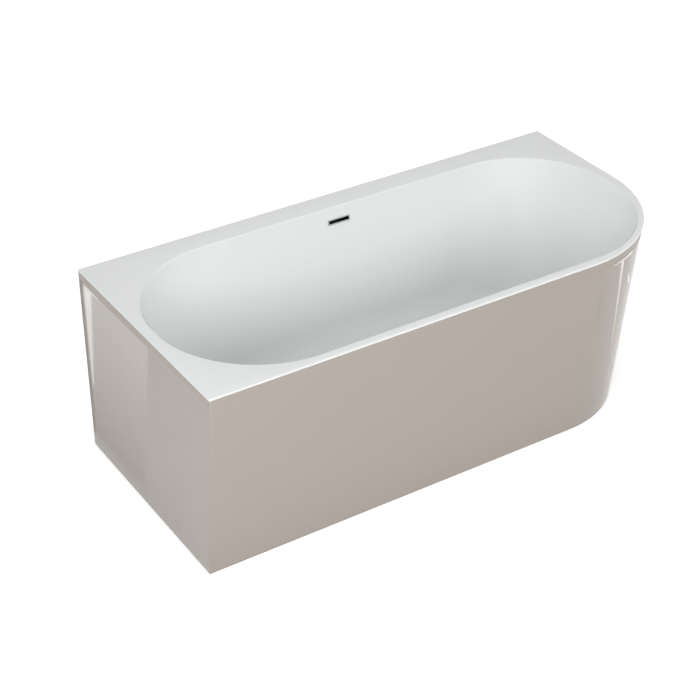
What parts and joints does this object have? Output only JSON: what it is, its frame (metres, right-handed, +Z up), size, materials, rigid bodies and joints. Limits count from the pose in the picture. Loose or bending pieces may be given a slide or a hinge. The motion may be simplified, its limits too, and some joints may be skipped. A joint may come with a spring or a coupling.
{
  "type": "freestanding corner bathtub",
  "caption": "Back-to-wall corner bath: white double-ended shell with a wide back deck in a glossy casing with one rounded corner, on a levelling frame with waste, trap and slot overflow.",
  "frame": {"origin": "on the floor, under the middle of the bath's bounding box", "axes": "+X along the length towards the rounded end, +Y back to the wall, +Z up"},
  "size_m": [1.6, 0.75, 0.6],
  "materials": {
    "white_acrylic": "glossy white acrylic",
    "taupe_acrylic": "glossy taupe acrylic",
    "bead": "satin grey sealant",
    "board": "pressed particle board under resin",
    "timber": "planed softwood",
    "frame_steel": "galvanised",
    "black_plastic": "matt moulded",
    "zinc": "bright zinc plate",
    "chrome": "polished",
    "seal_rubber": "matt",
    "brass": "turned",
    "white_plastic": "satin moulded",
    "grey_plastic": "satin moulded"
  },
  "bodies": {
    "bath": {"bath_shell": "white_acrylic", "casing": "taupe_acrylic", "bond_bead": "bead", "base_board": "board", "back_batten": "timber", "casing_blocks": "timber", "frame_rail_front": "frame_steel", "frame_rail_back_left": "frame_steel", "frame_rail_back_right": "frame_steel", "crossbar_left": "frame_steel", "crossbar_middle_left": "frame_steel", "crossbar_middle_right": "frame_steel", "crossbar_right": "frame_steel", "upright_left": "frame_steel", "upright_right": "frame_steel", "upright_plates": "frame_steel", "casing_brackets": "frame_steel", "frame_end_caps": "black_plastic", "bracket_screws": "zinc", "board_screws": "zinc", "batten_screws": "zinc", "foot_weld_nuts": "zinc", "foot_lock_nuts": "zinc", "waste_flange": "chrome", "overflow_cover": "chrome", "waste_gasket_top": "seal_rubber", "waste_gasket_bottom": "seal_rubber", "overflow_gasket": "seal_rubber", "plug_cartridge": "brass", "waste_body": "white_plastic", "trap_inlet_nut": "white_plastic", "trap_body": "white_plastic", "trap_cap": "white_plastic", "trap_outlet_nut": "white_plastic", "outlet_pipe": "white_plastic", "overflow_housing": "grey_plastic", "overflow_pipe": "grey_plastic", "overflow_bend": "grey_plastic", "overflow_branch": "grey_plastic"},
    "plug": {"plug_cap": "chrome", "plug_seal": "seal_rubber", "plug_stem": "brass"},
    "foot_front_left": {"foot_pad_front_left": "black_plastic"},
    "stud_front_left": {"foot_stud_front_left": "zinc"},
    "foot_back_left": {"foot_pad_back_left": "black_plastic"},
    "stud_back_left": {"foot_stud_back_left": "zinc"},
    "foot_middle_left": {"foot_pad_middle_left": "black_plastic"},
    "stud_middle_left": {"foot_stud_middle_left": "zinc"},
    "foot_middle_right": {"foot_pad_middle_right": "black_plastic"},
    "stud_middle_right": {"foot_stud_middle_right": "zinc"},
    "foot_front_right": {"foot_pad_front_right": "black_plastic"},
    "stud_front_right": {"foot_stud_front_right": "zinc"},
    "foot_back_right": {"foot_pad_back_right": "black_plastic"},
    "stud_back_right": {"foot_stud_back_right": "zinc"}
  },
  "joints": [
    {"name": "plug_slide", "type": "slide", "parent": "bath", "child": "plug", "axis": [0, 0, 1], "range_m": [0, 0.01]},
    {"name": "foot_front_left_height", "type": "slide", "parent": "bath", "child": "foot_front_left", "axis": [0, 0, 1], "range_m": [-0.012, 0.004]},
    {"name": "foot_front_left_turn", "type": "hinge", "parent": "foot_front_left", "child": "stud_front_left", "pos_m": [-0.48, -0.25, 0.05], "axis": [0, 0, 1], "range_deg": [-2881, 961]},
    {"name": "foot_back_left_height", "type": "slide", "parent": "bath", "child": "foot_back_left", "axis": [0, 0, 1], "range_m": [-0.012, 0.004]},
    {"name": "foot_back_left_turn", "type": "hinge", "parent": "foot_back_left", "child": "stud_back_left", "pos_m": [-0.48, 0.3, 0.05], "axis": [0, 0, 1], "range_deg": [-2881, 961]},
    {"name": "foot_middle_left_height", "type": "slide", "parent": "bath", "child": "foot_middle_left", "axis": [0, 0, 1], "range_m": [-0.012, 0.004]},
    {"name": "foot_middle_left_turn", "type": "hinge", "parent": "foot_middle_left", "child": "stud_middle_left", "pos_m": [-0.15, -0.025, 0.05], "axis": [0, 0, 1], "range_deg": [-2881, 961]},
    {"name": "foot_middle_right_height", "type": "slide", "parent": "bath", "child": "foot_middle_right", "axis": [0, 0, 1], "range_m": [-0.012, 0.004]},
    {"name": "foot_middle_right_turn", "type": "hinge", "parent": "foot_middle_right", "child": "stud_middle_right", "pos_m": [0.15, -0.025, 0.05], "axis": [0, 0, 1], "range_deg": [-2881, 961]},
    {"name": "foot_front_right_height", "type": "slide", "parent": "bath", "child": "foot_front_right", "axis": [0, 0, 1], "range_m": [-0.012, 0.004]},
    {"name": "foot_front_right_turn", "type": "hinge", "parent": "foot_front_right", "child": "stud_front_right", "pos_m": [0.48, -0.25, 0.05], "axis": [0, 0, 1], "range_deg": [-2881, 961]},
    {"name": "foot_back_right_height", "type": "slide", "parent": "bath", "child": "foot_back_right", "axis": [0, 0, 1], "range_m": [-0.012, 0.004]},
    {"name": "foot_back_right_turn", "type": "hinge", "parent": "foot_back_right", "child": "stud_back_right", "pos_m": [0.48, 0.3, 0.05], "axis": [0, 0, 1], "range_deg": [-2881, 961]}
  ],
  "couplings": [
    {"joint": "foot_front_left_turn", "follows": "foot_front_left_height", "rad_per_m": 4188.8},
    {"joint": "foot_back_left_turn", "follows": "foot_back_left_height", "rad_per_m": 4188.8},
    {"joint": "foot_middle_left_turn", "follows": "foot_middle_left_height", "rad_per_m": 4188.8},
    {"joint": "foot_middle_right_turn", "follows": "foot_middle_right_height", "rad_per_m": 4188.8},
    {"joint": "foot_front_right_turn", "follows": "foot_front_right_height", "rad_per_m": 4188.8},
    {"joint": "foot_back_right_turn", "follows": "foot_back_right_height", "rad_per_m": 4188.8}
  ]
}
